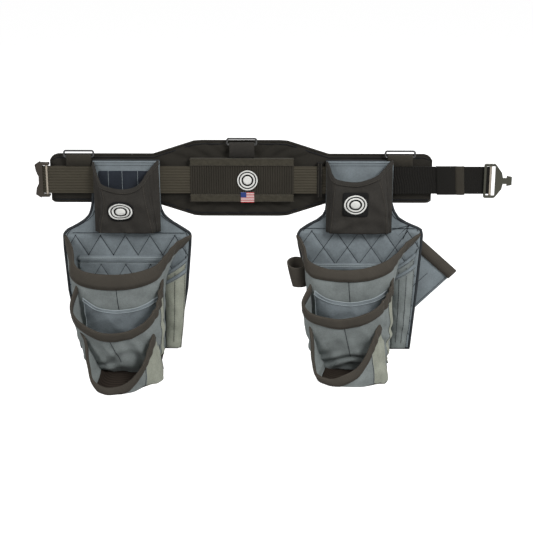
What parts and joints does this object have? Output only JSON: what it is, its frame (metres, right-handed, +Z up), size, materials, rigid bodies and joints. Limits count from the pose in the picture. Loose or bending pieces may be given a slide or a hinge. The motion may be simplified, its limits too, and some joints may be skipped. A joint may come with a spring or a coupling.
{
  "type": "tool belt",
  "caption": "Padded lumbar tool belt on wide webbing with sliding multi-pocket pouches, hinged slot rings and a quick release buckle.",
  "frame": {"origin": "centre of the flat back face of the lumbar pad, level with the middle of the webbing", "axes": "+X along the belt towards the tongue half of the buckle, +Y towards the wearer, +Z up"},
  "size_m": [0.8579, 0.1323, 0.447],
  "materials": {
    "pad_fabric": "woven nylon, matt",
    "foam": "closed cell foam",
    "belt_webbing": "ribbed nylon webbing",
    "fuzzy_tape": "brushed nylon loop tape",
    "label_white": "woven label, bare",
    "striped_cloth": "woven tag",
    "black_steel": "black coated wire",
    "bronze_metal": "brown-grey anodised alloy",
    "olive_metal": "dark olive anodised alloy",
    "steel": "bare steel",
    "pouch_cloth": "heavy grey ballistic nylon",
    "black_cloth": "black-brown nylon",
    "lip_webbing": "folded nylon webbing"
  },
  "bodies": {
    "belt": {"pad_back_lining": "pad_fabric", "pad_foam_core": "foam", "pad_front_cover": "pad_fabric", "pad_edge_binding": "pad_fabric", "main_web": "belt_webbing", "centre_panel": "belt_webbing", "panel_top_tape": "fuzzy_tape", "panel_bottom_tape": "fuzzy_tape", "centre_label": "label_white", "striped_tag": "striped_cloth", "web_keeper": "belt_webbing", "ring_tab_left": "belt_webbing", "ring_tab_centre": "belt_webbing", "ring_tab_right": "belt_webbing"},
    "ring_left": {"slot_ring_left": "black_steel"},
    "ring_centre": {"slot_ring_centre": "black_steel"},
    "ring_right": {"slot_ring_right": "black_steel"},
    "socket": {"socket_base_plate": "bronze_metal", "socket_cover_plate": "bronze_metal", "socket_web_bar": "steel", "socket_rivets": "steel"},
    "upper_clip": {"socket_upper_clip": "steel"},
    "lower_clip": {"socket_lower_clip": "steel"},
    "tongue": {"tongue_frame": "olive_metal", "tongue_web_bar": "olive_metal"},
    "left_pouch": {"left_back_panel": "pouch_cloth", "left_belt_tunnel": "pouch_cloth", "left_phone_pocket": "black_cloth", "left_upper_pocket": "pouch_cloth", "left_upper_lip": "lip_webbing", "left_middle_pocket": "pouch_cloth", "left_middle_lip": "lip_webbing", "left_lower_pocket": "pouch_cloth", "left_lower_lip": "lip_webbing", "left_upper_inner_pocket": "pouch_cloth", "left_middle_inner_pocket": "pouch_cloth", "left_back_sleeve": "pouch_cloth", "left_front_sleeve": "pouch_cloth", "left_phone_divider": "black_cloth"},
    "right_pouch": {"right_back_panel": "pouch_cloth", "right_belt_tunnel": "pouch_cloth", "right_phone_pocket": "black_cloth", "right_upper_pocket": "pouch_cloth", "right_upper_lip": "lip_webbing", "right_middle_pocket": "pouch_cloth", "right_middle_lip": "lip_webbing", "right_lower_pocket": "pouch_cloth", "right_lower_lip": "lip_webbing", "right_upper_inner_pocket": "pouch_cloth", "right_middle_inner_pocket": "pouch_cloth", "right_back_sleeve": "pouch_cloth", "right_front_sleeve": "pouch_cloth", "right_tool_loop": "lip_webbing", "right_square_sleeve": "pouch_cloth", "right_sleeve_band": "lip_webbing"}
  },
  "joints": [
    {"name": "left_pouch_slide", "type": "slide", "parent": "belt", "child": "left_pouch", "axis": [1, 0, 0], "range_m": [-0.048, 0.048]},
    {"name": "right_pouch_slide", "type": "slide", "parent": "belt", "child": "right_pouch", "axis": [1, 0, 0], "range_m": [-0.002, 0.06]},
    {"name": "left_ring_swing", "type": "hinge", "parent": "belt", "child": "ring_left", "pos_m": [-0.291, -0.0174, 0.0415], "axis": [1, 0, 0], "range_deg": [-15, 90]},
    {"name": "centre_ring_swing", "type": "hinge", "parent": "belt", "child": "ring_centre", "pos_m": [0.002, -0.0174, 0.064], "axis": [1, 0, 0], "range_deg": [-15, 170]},
    {"name": "right_ring_swing", "type": "hinge", "parent": "belt", "child": "ring_right", "pos_m": [0.286, -0.0174, 0.0415], "axis": [1, 0, 0], "range_deg": [-15, 90]},
    {"name": "socket_turn", "type": "hinge", "parent": "belt", "child": "socket", "pos_m": [-0.35, -0.0192, 0], "axis": [0, 0, 1], "range_deg": [-40, 8]},
    {"name": "upper_clip_press", "type": "slide", "parent": "socket", "child": "upper_clip", "axis": [0, 0, -1], "range_m": [0, 0.0024], "stiffness_N_per_m": 500},
    {"name": "lower_clip_press", "type": "slide", "parent": "socket", "child": "lower_clip", "axis": [0, 0, 1], "range_m": [0, 0.0024], "stiffness_N_per_m": 500},
    {"name": "tongue_turn", "type": "hinge", "parent": "belt", "child": "tongue", "pos_m": [0.449, -0.0192, 0], "axis": [0, 0, 1], "range_deg": [0, 45]}
  ]
}
